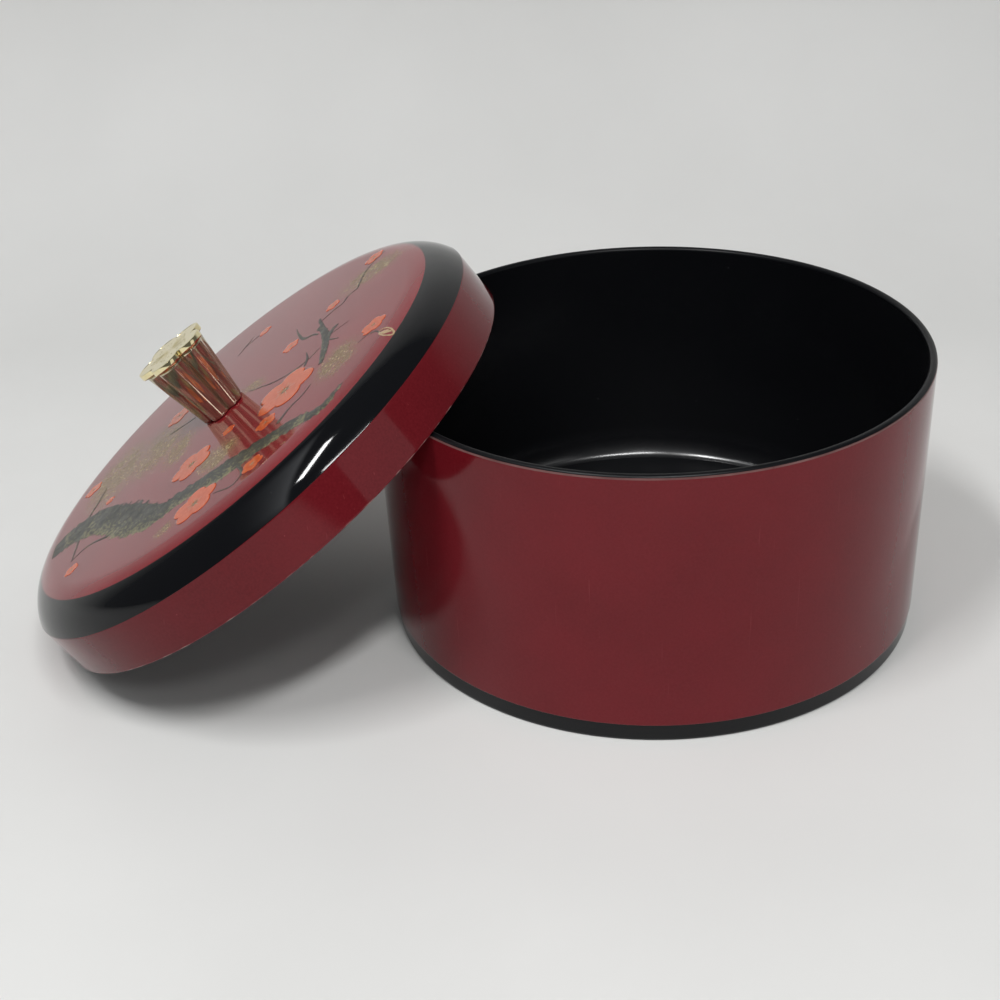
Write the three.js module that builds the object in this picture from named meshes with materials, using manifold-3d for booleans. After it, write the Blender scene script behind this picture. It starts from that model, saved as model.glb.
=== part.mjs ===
// Round lacquered box: a tapered tub, and its lid set down beside it, leaning on the tub's rim.
// Millimetres, +Z up. The box stands on z = 0, with the origin under the middle of the whole.

import * as THREE from 'three';
import { mergeVertices } from 'three/addons/utils/BufferGeometryUtils.js';
import Module from 'manifold-3d';

const wasm = await Module();
wasm.setup();

// Tub
const rimRadius = 85;             // outer edge of the flat rim
const tubHeight = 87;
const tubWall = 2.4;              // also the width of the rim
const rimEdge = 0.5;              // small bevel along both edges of the rim
const wallTaper = 1.6;            // the wall draws in by this much on its way down to the foot
const footHeight = 5.5;
const footInset = 0.6;            // step from the wall in to the foot ring
const footWidth = 5;
const footEdge = 0.8;             // bevel where the foot ring meets the table
const floorThickness = 2.5;
const floorFillet = 6;            // round corner between the floor and the wall inside

// Lid shell
const lidFit = 0.35;              // radial play of the skirt over the rim
const skirtWall = 1.25;
const skirtHeight = 15.4;         // straight part, up to the edge of the shoulder
const rimOverlap = 10;            // how far the closed lid's skirt reaches down over the rim
const shoulderRadius = 17;
const shoulderSlope = 63;         // degrees below level where the shoulder meets the skirt
const crownSlope = 1.45;          // degrees below level where the low crown meets the shoulder
const shellThickness = 2.8;

// Leaning lid
const leanAngle = 35.15;          // degrees between the lid and the table
const leanGap = 0.45;             // play left between the skirt's inner edge and the rim

// Knob: a fluted plum blossom, moulded hollow, with a cap on top
const petals = 5;
const petalShare = 0.42;          // a petal's own radius as a share of the blossom's radius
const knobTurn = 50;              // degrees, about the lid's axis
const knobHeight = 24.6;          // with its cap
const knobBaseRadius = 7.8;
const knobNeckRadius = 11.2;      // under the cap
const capThickness = 2;
const capOverhang = 1.3;
const capBevel = 0.3;
const capPlugLength = 3;
const capPlugWall = 1.4;
const knobCoreRadius = 5.6;       // hollow of the body
const knobCoreFloor = 10;         // solid foot of the body, which holds the insert

// Fastening: a screw from inside the lid, into a brass insert in the knob
const screwRadius = 2;
const screwLength = 11;           // under the head
const screwTip = 0.8;             // bevel at the end of the shank
const screwHeadRadius = 3.8;
const screwHeadHeight = 2.4;
const screwHeadRound = 1.4;
const crossWidth = 0.9;           // cross recess in the head
const crossLength = 4;
const crossDepth = 1.2;
const screwPlay = 0.3;            // radial, in the lid, the washer and the insert
const washerRadius = 5.5;
const washerThickness = 0.8;
const insertRadius = 3.4;
const insertLength = 8;
const grooveDepth = 0.4;          // ring groove that keys the insert into the knob
const grooveWidth = 2;

const seatGap = 0.3;              // between pieces that are pressed or screwed together

// Facets
const turnSteps = 72;             // round the tub and the lid
const smallTurnSteps = 28;        // round the screw, the washer and the insert
const arcStep = 9;                // degrees per facet of a round corner in a profile
const crownSteps = 4;             // from the screw hole out to the shoulder
const petalSteps = 8;             // along one petal's edge

const redLacquer = { color: 0x7a2026, roughness: 0.12, metalness: 0 };
const goldPlate = { color: 0xd9bf78, roughness: 0.14, metalness: 1 };
const brass = { color: 0xb99646, roughness: 0.35, metalness: 1 };
const steel = { color: 0xb9bcc0, roughness: 0.3, metalness: 1 };

const radians = THREE.MathUtils.degToRad;
const degrees = THREE.MathUtils.radToDeg;

// Arc in a profile: 0 degrees points away from the axis, 90 degrees points up.
function arc(centreRadius, centreHeight, radius, from, to) {
  const steps = Math.max(2, Math.round(Math.abs(to - from) / arcStep));
  const points = [];
  for (let i = 0; i <= steps; i++) {
    const angle = radians(from + (to - from) * i / steps);
    points.push([centreRadius + radius * Math.cos(angle), centreHeight + radius * Math.sin(angle)]);
  }
  return points;
}

// Closed geometry as a solid that can be joined and cut.
function solid(geometry) {
  const bare = geometry.clone();
  bare.deleteAttribute('normal');
  bare.deleteAttribute('uv');
  const merged = mergeVertices(bare, 1e-4);
  const index = Array.from(merged.index.array);
  const triVerts = [];
  for (let i = 0; i < index.length; i += 3) {
    const [a, b, c] = index.slice(i, i + 3);
    if (a !== b && b !== c && c !== a) triVerts.push(a, b, c);
  }
  const vertProperties = new Float32Array(merged.attributes.position.array);
  const mesh = new wasm.Mesh({ numProp: 3, vertProperties, triVerts: new Uint32Array(triVerts) });
  return new wasm.Manifold(mesh);
}

// Turns a closed profile of [radius, height] pairs about Z. The profile runs anticlockwise.
function turned(profile, steps) {
  const points = [...profile, profile[0]].map(([radius, height]) => new THREE.Vector2(radius, height));
  return solid(new THREE.LatheGeometry(points, steps).rotateX(Math.PI / 2));
}

// Outline of a blossom of radius 1: round petals that meet in sharp notches.
function blossomOutline() {
  const reach = 1 - petalShare;
  const half = Math.PI / petals;
  const notch = reach * Math.cos(half) + Math.sqrt(petalShare ** 2 - (reach * Math.sin(half)) ** 2);
  const sweep = Math.atan2(notch * Math.sin(half), notch * Math.cos(half) - reach);
  const points = [];
  for (let petal = 0; petal < petals; petal++) {
    const axis = 2 * half * petal;
    for (let i = 0; i < petalSteps; i++) {
      const angle = axis + sweep * (2 * i / petalSteps - 1);
      const x = reach * Math.cos(axis) + petalShare * Math.cos(angle);
      const y = reach * Math.sin(axis) + petalShare * Math.sin(angle);
      points.push(new THREE.Vector2(x, y));
    }
  }
  return new THREE.Shape(points);
}

// Blossom section drawn through a list of [height, radius] levels, from the lowest up.
function blossomLoft(levels) {
  const steps = levels.length - 1;
  const geometry = new THREE.ExtrudeGeometry(blossomOutline(), { depth: steps, steps, bevelEnabled: false });
  const position = geometry.attributes.position;
  for (let i = 0; i < position.count; i++) {
    const [height, radius] = levels[Math.round(position.getZ(i))];
    position.setXYZ(i, position.getX(i) * radius, position.getY(i) * radius, height);
  }
  return solid(geometry);
}

function piece(name, body, finish) {
  const mesh = body.getMesh();
  const geometry = new THREE.BufferGeometry();
  geometry.setAttribute('position', new THREE.BufferAttribute(new Float32Array(mesh.vertProperties), 3));
  geometry.setIndex(new THREE.BufferAttribute(new Uint32Array(mesh.triVerts), 1));
  geometry.computeVertexNormals();
  const node = new THREE.Mesh(geometry, new THREE.MeshStandardMaterial(finish));
  node.name = name;
  return node;
}

// Tub: a thin tapered wall and a floor, on an inset foot ring with a hollow inside it.
function makeTub() {
  const wallFoot = rimRadius - wallTaper;
  const footOuter = wallFoot - footInset;
  const footInner = footOuter - footWidth;
  const innerRim = rimRadius - tubWall;
  const innerFoot = wallFoot - tubWall;
  const floorTop = footHeight + floorThickness;
  return turned([
    [0, footHeight],
    [footInner, footHeight],
    [footInner, 0],
    [footOuter - footEdge, 0],
    [footOuter, footEdge],
    [footOuter, footHeight],
    [wallFoot, footHeight],
    [rimRadius, tubHeight - rimEdge],
    [rimRadius - rimEdge, tubHeight],
    [innerRim + rimEdge, tubHeight],
    [innerRim, tubHeight - rimEdge],
    ...arc(innerFoot - floorFillet, floorTop + floorFillet, floorFillet, 0, -90),
    [0, floorTop],
  ], turnSteps);
}

// Lid: a skirt that drops over the rim, a ledge that rests on it, a round shoulder and a low crown.
const skirtInner = rimRadius + lidFit;
const skirtOuter = skirtInner + skirtWall;
const shoulderRadial = skirtOuter - shoulderRadius * Math.sin(radians(shoulderSlope));
const shoulderHeight = skirtHeight - shoulderRadius * Math.cos(radians(shoulderSlope));
const screwHole = screwRadius + screwPlay;

// Crown over a shoulder of the given radius, from the screw hole out to the shoulder.
function crown(radius) {
  const edge = shoulderRadial + radius * Math.sin(radians(crownSlope));
  const edgeHeight = shoulderHeight + radius * Math.cos(radians(crownSlope));
  const rise = edge * Math.tan(radians(crownSlope)) / 2;
  const points = [];
  for (let i = 0; i < crownSteps; i++) {
    const at = screwHole + (edge - screwHole) * i / crownSteps;
    points.push([at, edgeHeight + rise * (1 - (at / edge) ** 2)]);
  }
  return points;
}

const innerShoulder = shoulderRadius - shellThickness;
const crownTop = crown(shoulderRadius)[0][1];
const crownUnderside = crown(innerShoulder)[0][1];

function makeLid() {
  const ledgeInner = rimRadius - tubWall;
  const ledgeAngle = degrees(Math.acos((ledgeInner - shoulderRadial) / innerShoulder));
  return turned([
    ...crown(innerShoulder),
    ...arc(shoulderRadial, shoulderHeight, innerShoulder, 90 - crownSlope, ledgeAngle),
    [ledgeInner, rimOverlap],
    [skirtInner, rimOverlap],
    [skirtInner, 0],
    [skirtOuter, 0],
    ...arc(shoulderRadial, shoulderHeight, shoulderRadius, 90 - shoulderSlope, 90 - crownSlope),
    ...crown(shoulderRadius).reverse(),
  ], turnSteps);
}

// Brass insert, with a ring groove round its middle. The clearance widens it into its pocket.
function insertProfile(clearance) {
  const outer = insertRadius + clearance;
  const grooveLow = (insertLength - grooveWidth) / 2 + clearance;
  const grooveHigh = (insertLength + grooveWidth) / 2 - clearance;
  return [
    [outer, 0],
    [outer, grooveLow],
    [outer - grooveDepth, grooveLow],
    [outer - grooveDepth, grooveHigh],
    [outer, grooveHigh],
    [outer, insertLength + clearance],
  ];
}

function makeInsert() {
  const bore = screwRadius + screwPlay;
  return turned([[bore, 0], ...insertProfile(0), [bore, insertLength]], smallTurnSteps);
}

// Knob body: the blossom widens up to the cap, round a core that is open at the top.
const bodyHeight = knobHeight - capThickness - seatGap;

function makeKnobBody() {
  const flutes = blossomLoft([[0, knobBaseRadius], [bodyHeight, knobNeckRadius]]);
  const aboveBody = bodyHeight + capThickness;
  const core = turned([
    [0, knobCoreFloor],
    [knobCoreRadius, knobCoreFloor],
    [knobCoreRadius, aboveBody],
    [0, aboveBody],
  ], smallTurnSteps);
  const belowBody = -insertLength;
  const pocketMouth = insertRadius + seatGap;
  const pocket = turned([
    [0, belowBody],
    [pocketMouth, belowBody],
    ...insertProfile(seatGap),
    [0, insertLength + seatGap],
  ], smallTurnSteps);
  return flutes.subtract(core).subtract(pocket);
}

// Knob cap: a blossom plate that stands out over the body, with a ring plug that sits in its core.
function makeKnobCap() {
  const rim = knobNeckRadius + capOverhang;
  const plate = blossomLoft([
    [0, rim - capBevel],
    [capBevel, rim],
    [capThickness - capBevel, rim],
    [capThickness, rim - capBevel],
  ]);
  const plugOuter = knobCoreRadius - seatGap;
  const plugRoot = capThickness / 2;
  const plug = turned([
    [plugOuter - capPlugWall, -capPlugLength],
    [plugOuter, -capPlugLength],
    [plugOuter, plugRoot],
    [plugOuter - capPlugWall, plugRoot],
  ], smallTurnSteps);
  return plate.add(plug);
}

// Pan-head screw with a cross recess. Its origin is where the head meets the shank.
function makeScrew() {
  const screw = turned([
    [0, -screwHeadHeight],
    ...arc(screwHeadRadius - screwHeadRound, screwHeadRound - screwHeadHeight, screwHeadRound, -90, 0),
    [screwHeadRadius, 0],
    [screwRadius, 0],
    [screwRadius, screwLength - screwTip],
    [screwRadius - screwTip, screwLength],
    [0, screwLength],
  ], smallTurnSteps);
  const slot = new THREE.BoxGeometry(crossLength, crossWidth, 2 * crossDepth).translate(0, 0, -screwHeadHeight);
  const crossSlot = slot.clone().rotateZ(Math.PI / 2);
  return screw.subtract(solid(slot)).subtract(solid(crossSlot));
}

function makeWasher() {
  return turned([
    [screwHole, 0],
    [washerRadius, 0],
    [washerRadius, washerThickness],
    [screwHole, washerThickness],
  ], smallTurnSteps);
}

// Lid with its knob, upright on its skirt. The fastening is stacked from the crown's underside down.
function makeLidGroup() {
  const washerBottom = crownUnderside - seatGap - washerThickness;
  const washer = piece('screw_washer', makeWasher(), steel);
  washer.position.z = washerBottom;
  const screw = piece('knob_screw', makeScrew(), steel);
  screw.position.z = washerBottom - seatGap;

  const knob = new THREE.Group();
  const cap = piece('knob_cap', makeKnobCap(), goldPlate);
  cap.position.z = bodyHeight + seatGap;
  knob.add(piece('knob_body', makeKnobBody(), goldPlate), cap, piece('knob_insert', makeInsert(), brass));
  knob.position.z = crownTop + seatGap;
  knob.rotation.z = radians(knobTurn);

  const group = new THREE.Group();
  group.add(piece('lid', makeLid(), redLacquer), washer, screw, knob);
  return group;
}

// Leans the lid: its lowest edge is on the table, and its skirt's inner edge lies on the rim at two points.
function leanLid(group) {
  const lean = radians(leanAngle);
  const centreHeight = skirtOuter * Math.sin(lean);
  const edgeRadius = skirtInner - leanGap;
  const upSlope = (tubHeight - centreHeight) / Math.sin(lean);
  const contactY = Math.sqrt(edgeRadius ** 2 - upSlope ** 2);
  const contactX = -Math.sqrt(rimRadius ** 2 - contactY ** 2);
  group.position.set(contactX - upSlope * Math.cos(lean), 0, centreHeight);
  group.rotation.y = -lean;
}

const lidGroup = makeLidGroup();
leanLid(lidGroup);

const box = new THREE.Group();
box.add(piece('tub', makeTub(), redLacquer), lidGroup);

const reach = new THREE.Box3().setFromObject(box, true);
const middle = reach.getCenter(new THREE.Vector3());
box.position.set(-middle.x, -middle.y, -reach.min.z);

export default box;
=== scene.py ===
import math

import bpy
from mathutils import Matrix, Vector


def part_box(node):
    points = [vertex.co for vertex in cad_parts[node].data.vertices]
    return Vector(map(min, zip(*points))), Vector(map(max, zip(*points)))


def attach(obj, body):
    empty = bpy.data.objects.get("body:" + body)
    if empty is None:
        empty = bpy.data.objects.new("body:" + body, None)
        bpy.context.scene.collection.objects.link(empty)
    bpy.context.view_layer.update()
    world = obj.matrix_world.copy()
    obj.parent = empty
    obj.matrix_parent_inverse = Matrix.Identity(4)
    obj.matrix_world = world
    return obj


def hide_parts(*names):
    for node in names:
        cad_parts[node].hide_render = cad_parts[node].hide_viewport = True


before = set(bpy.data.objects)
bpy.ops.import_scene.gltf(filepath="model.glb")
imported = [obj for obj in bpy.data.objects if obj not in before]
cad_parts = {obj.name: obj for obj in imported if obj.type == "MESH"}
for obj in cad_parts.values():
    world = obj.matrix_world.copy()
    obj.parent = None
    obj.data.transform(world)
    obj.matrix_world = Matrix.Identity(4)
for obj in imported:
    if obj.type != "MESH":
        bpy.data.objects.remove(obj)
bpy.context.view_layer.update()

MM = 0.001

# Tub, in millimetres, as in the solids
RIM_RADIUS = 85.0
RIM_ROUND = 1.2
# Height of the paler band just under the black rim: a painted highlight on the rim's rounded outer edge
RIM_HIGHLIGHT_BAND = 0.48
TUB_HEIGHT = 87.0
TUB_WALL = 2.4
TUB_SIDES = 224
WALL_FOOT = 83.4
WALL_ROUND = 0.5
FOOT_RADIUS = 82.8
FOOT_INNER = 77.8
FOOT_HEIGHT = 5.5
FOOT_ROUND = 0.8
FOOT_BEVEL = 0.3
FOOT_FILLET = 0.5
FLOOR_TOP = 8.0
FLOOR_BEND = 3.2
FLOOR_BEND_AT = 75.6
FLOOR_BEND_SLOPE = 30
FLOOR_RINGS = (40, 12)
UNDERSIDE_RING = 25

# Lid, in millimetres
SKIRT_INNER = 85.35
SKIRT_OUTER = 86.6
SKIRT_HEIGHT = 15.4
SKIRT_EDGE_INSIDE = 0.3
SKIRT_EDGE_OUTSIDE = 0.35
# Height of the pale band along the lid's lower edge: rubbed wear and a painted highlight
WORN_HIGHLIT_HEIGHT = 0.3
LEDGE_INNER = 82.6
LEDGE_HEIGHT = 10.0
LEDGE_BEVEL = 0.3
LEDGE_FILLET = 0.2
SHOULDER_RADIUS = 17.0
INNER_SHOULDER = 14.2
CREASE_ROUND = 1.1
BAND_TOP_RADIUS = 78.3
CROWN_SLOPE = math.radians(1.45)
SHOULDER_SLOPE = math.radians(63)
SCREW_HOLE = 2.3
UNDER_RINGS = (SCREW_HOLE, 18, 36, 54)
CROWN_RINGS = (64, 54, 42, 30, 18, 8, SCREW_HOLE)
LID_SIDES = 256

# Knob, in millimetres
KNOB_TURN = math.radians(50)
KNOB_HEIGHT = 24.6
KNOB_BASE = 7.8
KNOB_NECK = 11.2
KNOB_EDGE_IN = 0.25
KNOB_EDGE_UP = 0.3
CAP_RADIUS = 12.5
CAP_THICKNESS = 2.0
CAP_EDGE_IN = 0.3
CAP_EDGE_UP = 0.28
CAP_EDGE_MIDDLE = 0.08
CAP_RIM = 0.9
CAP_RIM_FOOT = 0.95
CAP_FIELD = 1.94
PETALS = 5
PETAL_SHARE = 0.42
PETAL_POINTS = 84
SEAT_GAP = 0.3

# Stamens on the knob's cap, in millimetres: a boss, and ridges that end in beads
BOSS_RADIUS = 1.1
BOSS_FLATNESS = 0.25
STAMEN_START = 0.8
STAMEN_LENGTH = 6.6
STAMEN_SHORTER = 0.8
STAMEN_FOOT = 0.24
STAMEN_TIP = 0.14
STAMEN_FAN = math.radians(12)
STAMEN_FLATNESS = 0.3
BEAD_RADIUS = 0.34

# Leaning lid: its turn, and the middle of its lower edge
LEAN = math.radians(35.15)
LID_AWAY = 117.398
TUB_AXIS = (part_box("tub")[0][0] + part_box("tub")[1][0]) / 2
LID_PLACE = Vector((TUB_AXIS - LID_AWAY * MM, 0, SKIRT_OUTER * math.sin(LEAN) * MM))

# Round shoulder of the lid: the middle of its arc, and where it starts and ends, in degrees
SHOULDER_AT = SKIRT_OUTER - SHOULDER_RADIUS * math.sin(SHOULDER_SLOPE)
SHOULDER_UP = SKIRT_HEIGHT - SHOULDER_RADIUS * math.cos(SHOULDER_SLOPE)
SHOULDER_START = 27.6
SHOULDER_END = 90 - math.degrees(CROWN_SLOPE)

# Painted branch on the crown, in millimetres from the knob: x up the slope, y to the far side.
# A stroke is drawn through points of (x, y, half width).
TRUNK = [
    (-71, -14.2, 5.5), (-62, -12.5, 7.6), (-49, -18.5, 7), (-40.6, -26.2, 6.8), (-33.2, -34.2, 8),
    (-25.3, -42.7, 7.4), (-17.5, -48.4, 5.6), (-6, -49, 4.6), (2, -50.4, 4.8), (10, -52, 5.4),
    (18, -52.8, 4.8), (27, -52.8, 4), (36, -54.2, 3.6), (46, -56.3, 2.5), (50, -53.8, 1.2),
    (52.8, -49.7, 0.4),
]
FORK = [
    [(41.9, -22.3, 0.5), (41.7, -15.5, 0.8), (41.5, -6, 1.4), (38.6, 8.7, 1.0), (36, 19.1, 0.4)],
    [(42.6, -22.6, 0.4), (43.1, -12, 0.7), (42.8, -3, 1.1), (44.6, 0.9, 1), (46, 1.4, 0.5)],
    [(42.3, -17.5, 0.4), (42.9, -11.1, 0.6), (41.7, -2.1, 1), (39.2, 6.5, 1.2), (36.6, 10.8, 0.8)],
]
TWIGS = [
    [(37.4, 5.1, 0.4), (34.6, 8.4, 0.5), (31.7, 9.9, 0.7), (28.2, 16.7, 0.5), (25.5, 25.9, 0.15)],
    [(42.9, -6.2, 0.4), (45.9, -9.8, 0.3), (47.7, -11.6, 0.15)],
    [(43.1, -2.8, 0.3), (47.6, -2.8, 0.25), (50.5, -2.6, 0.12)],
    [(36.6, 15.4, 0.4), (42.3, 18, 0.4), (45.6, 18.6, 0.4), (47.3, 21.8, 0.5), (51.1, 23, 0.4)],
    [(51.1, 23, 0.4), (51.4, 26.9, 0.4), (54.3, 37.2, 0.35), (60, 42.5, 0.2)],
    [(35, -15.1, 0.5), (35.4, -10.8, 0.5), (34.1, -4.2, 0.15)],
    [(10.5, -1.5, 0.2), (15.6, -5.2, 0.3), (24, -10.5, 0.35), (35.2, -11.7, 0.4), (39.9, -8.4, 0.3)],
    [(29.1, -46, 0.9), (33.1, -40.4, 0.6), (37, -37.8, 0.45), (39.9, -33.8, 0.3)],
    [(8.6, -63.7, 0.25), (17.4, -66.4, 0.4), (16, -54.3, 0.7)],
    [(-40.2, -36.6, 0.6), (-51.1, -32.5, 0.45), (-56.6, -34.6, 0.25)],
    [(-56.2, -34.4, 0.3), (-57.6, -20, 0.6)],
    [(-58, -8, 0.8), (-55.5, 2, 0.5), (-54.5, 9, 0.2)],
    [(-26.9, 14.6, 0.5), (-15.4, 12.2, 0.3)],
    [(56.7, -27.3, 0.25), (60.2, -26.4, 0.3), (63.4, -28.2, 0.3), (65, -31.2, 0.25)],
    [(-3.7, 45.2, 0.2), (-1.5, 49.2, 0.35), (1.3, 53.9, 0.2)],
    [(-1.5, 49.2, 0.3), (7.3, 51.6, 0.3)],
]
# How far the paint's underside reaches into the lacquer
PAINT_ROOT = 0.03

# Blossoms: (x, y, width)
BLOSSOMS = [
    (28.5, -23.5, 22.5), (-7.3, -28.9, 16.5), (0.8, -61, 16.7), (22.5, -62.1, 8), (23.7, -38.7, 8),
    (6.2, -22.8, 5), (-54, -41.8, 6), (-63.5, 18.3, 8), (-48.3, -5.9, 4), (-26, 27.1, 11), (25.1, 12.9, 7),
    (61.8, -21.5, 9.5), (40.9, 23.5, 6), (55.5, 43.5, 8), (7.3, 50.9, 5.5),
]
# Blossom that the others are copied from: its petals' size and reach are shares of its radius, a petal's
# profile is in shares of the petal's radius and of its relief, and a stamen has a length and a turn
BLOSSOM_RADIUS = 10
BLOSSOM_PETAL = 0.45
BLOSSOM_REACH = 0.54
BLOSSOM_PROFILE = [(0.96, -1), (1, 0.01), (0.86, 0.75), (0.45, 1)]
BLOSSOM_STAMENS = [(3.2, 0), (2.4, 0.6)]
BLOSSOM_STAMEN_START = 0.3
BLOSSOM_STAMEN_FOOT = 0.16
BLOSSOM_STAMEN_TIP = 0.09
BLOSSOM_STAMEN_UP = 1.05
BLOSSOM_TURN = math.radians(47)

# Gold bud: its middle, and half its length and half its width as directions. Its outline has one half
# width, and its vein is drawn through points of (share of the half length, half width).
GOLD_BUD = ((67.2, -33), (2.4, -1.6), (0.45, -2.6))
BUD_LINE = 0.28
BUD_POINTS = 8
BUD_VEIN = [(-0.95, 0.3), (0, 1.1), (0.75, 0.2)]

# Clouds of gold dust: (x, y, length, width, turn in degrees)
DUST_CLOUDS = [
    (49, -28.5, 18, 22, 0), (4.5, -38, 18, 20, 0), (-50, 13, 30, 44, 0), (-31, 9, 28, 38, 0),
    (-18, -7, 15, 24, 0), (-10.5, -64, 9, 8, 0), (56, 29.5, 29, 17, -10), (12.5, 0.5, 15, 8, -40),
]

# Straight stretches of a profile longer than this get a ring at this distance from their ends
LONG_STRETCH = 2.8
HOLD = 0.35

# Tests on faces: the share of a normal that faces a way, or lies level, and the slack in place
FACING = 0.3
LEVEL = 0.97
SLACK = 0.1


def crown_height(radius, shoulder=SHOULDER_RADIUS):
    """Height of the lid's top, or of its underside, above its lower edge."""
    edge = SHOULDER_AT + shoulder * math.sin(CROWN_SLOPE)
    if radius > edge:
        return SHOULDER_UP + math.sqrt(shoulder ** 2 - (radius - SHOULDER_AT) ** 2)
    rise = edge * math.tan(CROWN_SLOPE) / 2
    return SHOULDER_UP + shoulder * math.cos(CROWN_SLOPE) + rise * (1 - (radius / edge) ** 2)


CROWN_TOP = crown_height(SCREW_HOLE)


def corner(at, up, radius, start, end, steps):
    """Points of a round corner in a profile: 0 degrees points outwards, 90 degrees up."""
    points = []
    for i in range(steps + 1):
        angle = math.radians(start + (end - start) * i / steps)
        points.append((at + radius * math.cos(angle), up + radius * math.sin(angle)))
    return points


def hold_rings(rings):
    """Adds a ring near both ends of each long straight stretch, so that it is shaded straight."""
    held = []
    for start, end in zip(rings, rings[1:]):
        held.append(start)
        length = math.dist(start, end)
        if length > LONG_STRETCH:
            for share in (HOLD / length, 1 - HOLD / length):
                radius = start[0] + (end[0] - start[0]) * share
                height = start[1] + (end[1] - start[1]) * share
                held.append((radius, height))
    held.append(rings[-1])
    return held


def take_up(piece):
    """Makes a piece the only selected one, and the active one."""
    bpy.ops.object.select_all(action="DESELECT")
    piece.select_set(True)
    bpy.context.view_layer.objects.active = piece


def pick_vertices(piece, test):
    """Selects the vertices of a piece in edit mode by their place."""
    bpy.ops.mesh.select_mode(type="VERT")
    bpy.ops.mesh.select_all(action="DESELECT")
    bpy.ops.object.mode_set(mode="OBJECT")
    for vertex in piece.data.vertices:
        vertex.select = test(vertex.co)
    bpy.ops.object.mode_set(mode="EDIT")


def begin_edit():
    bpy.ops.object.mode_set(mode="EDIT")
    bpy.ops.mesh.select_all(action="SELECT")


def pull_rings(rings):
    """Extrudes the selected edges through (radius, height) rings, in millimetres, from the first one."""
    for (radius, height), (next_radius, next_height) in zip(rings, rings[1:]):
        bpy.ops.mesh.extrude_edges_move()
        bpy.ops.transform.translate(value=(0, 0, (next_height - height) * MM))
        grow = next_radius / radius
        bpy.ops.transform.resize(value=(grow, grow, 1), center_override=(0, 0, next_height * MM))


def close_holes():
    """Fills each open ring of the piece in edit mode."""
    bpy.ops.mesh.select_all(action="SELECT")
    bpy.ops.mesh.fill_holes(sides=0)


def finish_mesh(angle=35):
    """Welds the piece in edit mode, turns its faces outwards and smooths it below an angle in degrees."""
    bpy.ops.mesh.select_all(action="SELECT")
    bpy.ops.mesh.remove_doubles(threshold=1e-6)
    bpy.ops.mesh.normals_make_consistent(inside=False)
    bpy.ops.object.mode_set(mode="OBJECT")
    bpy.ops.object.shade_smooth_by_angle(angle=math.radians(angle))


def turn_piece(name, rings, sides):
    """Turns a profile of (radius, height) rings, by extruding a circle from ring to ring."""
    bpy.ops.object.select_all(action="DESELECT")
    bpy.ops.mesh.primitive_circle_add(vertices=sides, radius=rings[0][0] * MM)
    piece = bpy.context.active_object
    piece.name = name
    begin_edit()
    bpy.ops.transform.translate(value=(0, 0, rings[0][1] * MM))
    pull_rings(rings)
    return piece


def lean_on_rim(piece):
    """Moves a piece made on the upright lid to the leaning lid, with its place in its mesh."""
    take_up(piece)
    piece.rotation_euler = (0, -LEAN, 0)
    piece.location = LID_PLACE
    bpy.ops.object.transform_apply(location=True, rotation=True, scale=True)
    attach(piece, "lid")


# Helpers for the materials


def new_finish(name):
    material = bpy.data.materials.new(name)
    material.use_nodes = True
    nodes = material.node_tree.nodes
    return material, nodes, material.node_tree.links, nodes["Principled BSDF"]


def object_place(nodes):
    return nodes.new("ShaderNodeTexCoord").outputs["Object"]


def lid_place(nodes, links):
    """Object coordinates turned back to the upright lid, in metres."""
    mapping = nodes.new("ShaderNodeMapping")
    back = Matrix.Rotation(LEAN, 3, "Y")
    mapping.inputs["Rotation"].default_value = (0, LEAN, 0)
    mapping.inputs["Location"].default_value = -(back @ LID_PLACE)
    links.new(object_place(nodes), mapping.inputs["Vector"])
    return mapping.outputs["Vector"]


def stretched(nodes, links, place, scale):
    mapping = nodes.new("ShaderNodeMapping")
    mapping.inputs["Scale"].default_value = scale
    links.new(place, mapping.inputs["Vector"])
    return mapping.outputs["Vector"]


def cloud(nodes, links, place, scale, detail=2.0, roughness=0.5):
    noise = nodes.new("ShaderNodeTexNoise")
    noise.inputs["Scale"].default_value = scale
    noise.inputs["Detail"].default_value = detail
    noise.inputs["Roughness"].default_value = roughness
    links.new(place, noise.inputs["Vector"])
    return noise.outputs["Fac"]


def spread(nodes, links, value, low, high, to_low=0.0, to_high=1.0):
    """Spreads the values from low to high over another range, and keeps them within it."""
    ranged = nodes.new("ShaderNodeMapRange")
    ranged.inputs["From Min"].default_value = low
    ranged.inputs["From Max"].default_value = high
    ranged.inputs["To Min"].default_value = to_low
    ranged.inputs["To Max"].default_value = to_high
    links.new(value, ranged.inputs["Value"])
    return ranged.outputs["Result"]


def specks(nodes, links, place, scale, size):
    """Round specks, one in each cell, with their size as a share of the cell."""
    cells = nodes.new("ShaderNodeTexVoronoi")
    cells.inputs["Scale"].default_value = scale
    links.new(place, cells.inputs["Vector"])
    return spread(nodes, links, cells.outputs["Distance"], size, 0.6 * size)


def work_out(nodes, links, operation, first, second):
    """Math on two values, each a socket or a number."""
    math_node = nodes.new("ShaderNodeMath")
    math_node.operation = operation
    for socket, value in zip(math_node.inputs, (first, second)):
        if isinstance(value, (int, float)):
            socket.default_value = value
        else:
            links.new(value, socket)
    return math_node.outputs["Value"]


def blend(nodes, links, amount, first, second):
    """Mixes two colours, each a colour or a socket."""
    mix = nodes.new("ShaderNodeMix")
    mix.data_type = "RGBA"
    links.new(amount, mix.inputs["Factor"])
    sockets = [s for s in mix.inputs if s.type == "RGBA"]
    for socket, colour in zip(sockets, (first, second)):
        if isinstance(colour, tuple):
            socket.default_value = (*colour, 1)
        else:
            links.new(colour, socket)
    return [s for s in mix.outputs if s.type == "RGBA"][0]


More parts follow.
